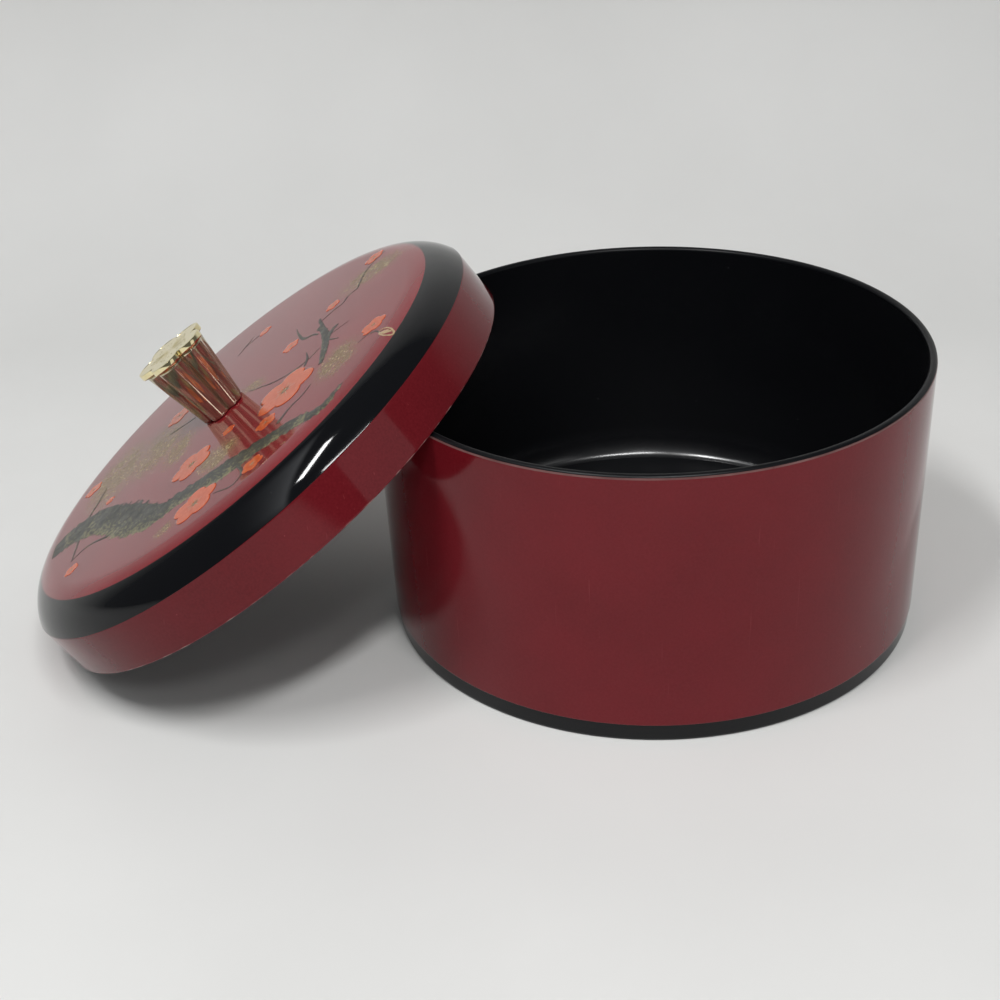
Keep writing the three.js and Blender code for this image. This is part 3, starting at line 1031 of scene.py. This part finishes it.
TABLE_WIDTH = 5
TABLE_DEPTH = 3
TABLE_BACK = 0.22
TABLE_GREY = (0.70, 0.70, 0.685)
TABLE_GREY_PALE = (0.74, 0.74, 0.725)
SWEEP_RADIUS = 0.16
SWEEP_ANGLE = math.radians(80)
SWEEP_STEPS = 12
BACKDROP = (0, 0.15, 1.2)

LAMP_HEIGHT = 1.25
PANEL_PLACE = (1.15, -0.85, 0.56)
PANEL_AIM = Vector((-1.25, 0.85, -0.45))

# Glow on the room's ceiling: the way to its middle, and the way that it fades from its straight edge.
# Its depth and its soft edge go by the second way, and its outer and inner bounds by the first.
GLOW_MIDDLE = (-0.429, -0.339, 0.837)
GLOW_FADE = (-0.853, -0.152, -0.499)
GLOW_DEPTH = 0.46
GLOW_EDGE = 0.05
GLOW_FALL = 3
GLOW_OUTER = 0.8
GLOW_INNER = 0.92
GLOW_STRENGTH = 1.7
ROOM_STRENGTH = 0.12
ROOM_WHITE = (0.95, 0.97, 1.0, 1)

CAMERA_LENS = 59.409
CAMERA_SENSOR = 36
CAMERA_PLACE = (0.024624, -0.462144, 0.290611)
CAMERA_TURN = (1.0646272, 0.0456838, 0.0104255)


def make_table_finish():
    """Pale matt table, seen through from behind, so that its backdrop never hides the box."""
    material, nodes, links, shader = new_finish("pale_table")
    place = object_place(nodes)
    tone = spread(nodes, links, cloud(nodes, links, place, scale=6, detail=5), 0.35, 0.65)
    links.new(blend(nodes, links, tone, TABLE_GREY, TABLE_GREY_PALE), shader.inputs["Base Color"])
    shader.inputs["Roughness"].default_value = 0.55
    shader.inputs["Specular IOR Level"].default_value = 0.25
    see_through = nodes.new("ShaderNodeBsdfTransparent")
    side = nodes.new("ShaderNodeNewGeometry")
    both = nodes.new("ShaderNodeMixShader")
    links.new(side.outputs["Backfacing"], both.inputs["Fac"])
    links.new(shader.outputs["BSDF"], both.inputs[1])
    links.new(see_through.outputs["BSDF"], both.inputs[2])
    links.new(both.outputs["Shader"], nodes["Material Output"].inputs["Surface"])
    return material


def make_table():
    """Pale table that sweeps up behind the box."""
    bpy.ops.object.select_all(action="DESELECT")
    bpy.ops.mesh.primitive_plane_add(size=1)
    table = bpy.context.active_object
    table.name = "table_sweep"
    begin_edit()
    bpy.ops.transform.resize(value=(TABLE_WIDTH, TABLE_DEPTH, 1))
    bpy.ops.transform.translate(value=(0, TABLE_BACK - TABLE_DEPTH / 2, 0))
    pick_vertices(table, lambda co: co.y > 0)
    last = (0.0, 0.0)
    for step in range(1, SWEEP_STEPS + 1):
        angle = SWEEP_ANGLE * step / SWEEP_STEPS
        point = (SWEEP_RADIUS * math.sin(angle), SWEEP_RADIUS * (1 - math.cos(angle)))
        bpy.ops.mesh.extrude_edges_move()
        bpy.ops.transform.translate(value=(0, point[0] - last[0], point[1] - last[1]))
        last = point
    bpy.ops.mesh.extrude_edges_move()
    bpy.ops.transform.translate(value=BACKDROP)
    bpy.ops.mesh.select_all(action="SELECT")
    bpy.ops.mesh.normals_make_consistent(inside=False)
    bpy.ops.object.mode_set(mode="OBJECT")
    if table.data.polygons[0].normal.z < 0:
        table.data.flip_normals()
    bpy.ops.object.shade_smooth()
    table.data.materials.append(make_table_finish())


def add_lamp(name, place, turn, width, length, power):
    """Soft rectangular lamp. Unturned, it shines straight down."""
    lamp = bpy.data.lights.new(name, "AREA")
    lamp.shape = "RECTANGLE"
    lamp.size = width
    lamp.size_y = length
    lamp.energy = power
    lamp_object = bpy.data.objects.new(name, lamp)
    lamp_object.location = place
    lamp_object.rotation_euler = turn
    bpy.context.scene.collection.objects.link(lamp_object)


def hang_lamp(name, x, y, turn, width, length, power):
    """Lamp that hangs over the table, turned about the upright by some degrees."""
    add_lamp(name, (x, y, LAMP_HEIGHT), (0, 0, math.radians(turn)), width, length, power)


def towards(nodes, links, way, aim):
    """How far a direction points the same way as the aim, from -1 to 1."""
    dot = nodes.new("ShaderNodeVectorMath")
    dot.operation = "DOT_PRODUCT"
    links.new(way, dot.inputs[0])
    dot.inputs[1].default_value = aim
    return dot.outputs["Value"]


def make_room():
    """Dim pale room, with a glow on its ceiling that fades away from a straight edge."""
    world = bpy.data.worlds.new("room")
    bpy.context.scene.world = world
    world.use_nodes = True
    nodes = world.node_tree.nodes
    links = world.node_tree.links
    way = nodes.new("ShaderNodeTexCoord").outputs["Generated"]
    past = towards(nodes, links, way, GLOW_FADE)
    fade = work_out(nodes, links, "POWER", spread(nodes, links, past, 0, GLOW_DEPTH, 1, 0), GLOW_FALL)
    edge = spread(nodes, links, past, -GLOW_EDGE, 0)
    around = spread(nodes, links, towards(nodes, links, way, GLOW_MIDDLE), GLOW_OUTER, GLOW_INNER)
    patch = work_out(nodes, links, "MULTIPLY", work_out(nodes, links, "MULTIPLY", fade, edge), around)
    glow = work_out(nodes, links, "MULTIPLY", patch, GLOW_STRENGTH)
    background = nodes["Background"]
    background.inputs["Color"].default_value = ROOM_WHITE
    links.new(work_out(nodes, links, "ADD", glow, ROOM_STRENGTH), background.inputs["Strength"])


def place_camera():
    camera = bpy.data.cameras.new("camera")
    camera.lens = CAMERA_LENS
    camera.sensor_width = CAMERA_SENSOR
    camera.sensor_fit = "HORIZONTAL"
    camera_object = bpy.data.objects.new("camera", camera)
    camera_object.location = CAMERA_PLACE
    camera_object.rotation_euler = CAMERA_TURN
    bpy.context.scene.collection.objects.link(camera_object)
    bpy.context.scene.camera = camera_object


make_table()
hang_lamp("lamp_left", -0.405, -0.488, turn=-7.5, width=0.09, length=0.54, power=8.1)
hang_lamp("lamp_front", 0.177, -0.755, turn=-39.5, width=0.14, length=0.60, power=9.9)
hang_lamp("lamp_far", 0.06, -1.40, turn=0, width=0.13, length=0.34, power=2.5)
panel_turn = PANEL_AIM.to_track_quat("-Z", "Y").to_euler()
add_lamp("panel_right", PANEL_PLACE, panel_turn, width=0.7, length=1.1, power=1.5)
make_room()
place_camera()
bpy.context.scene.view_settings.view_transform = "Standard"
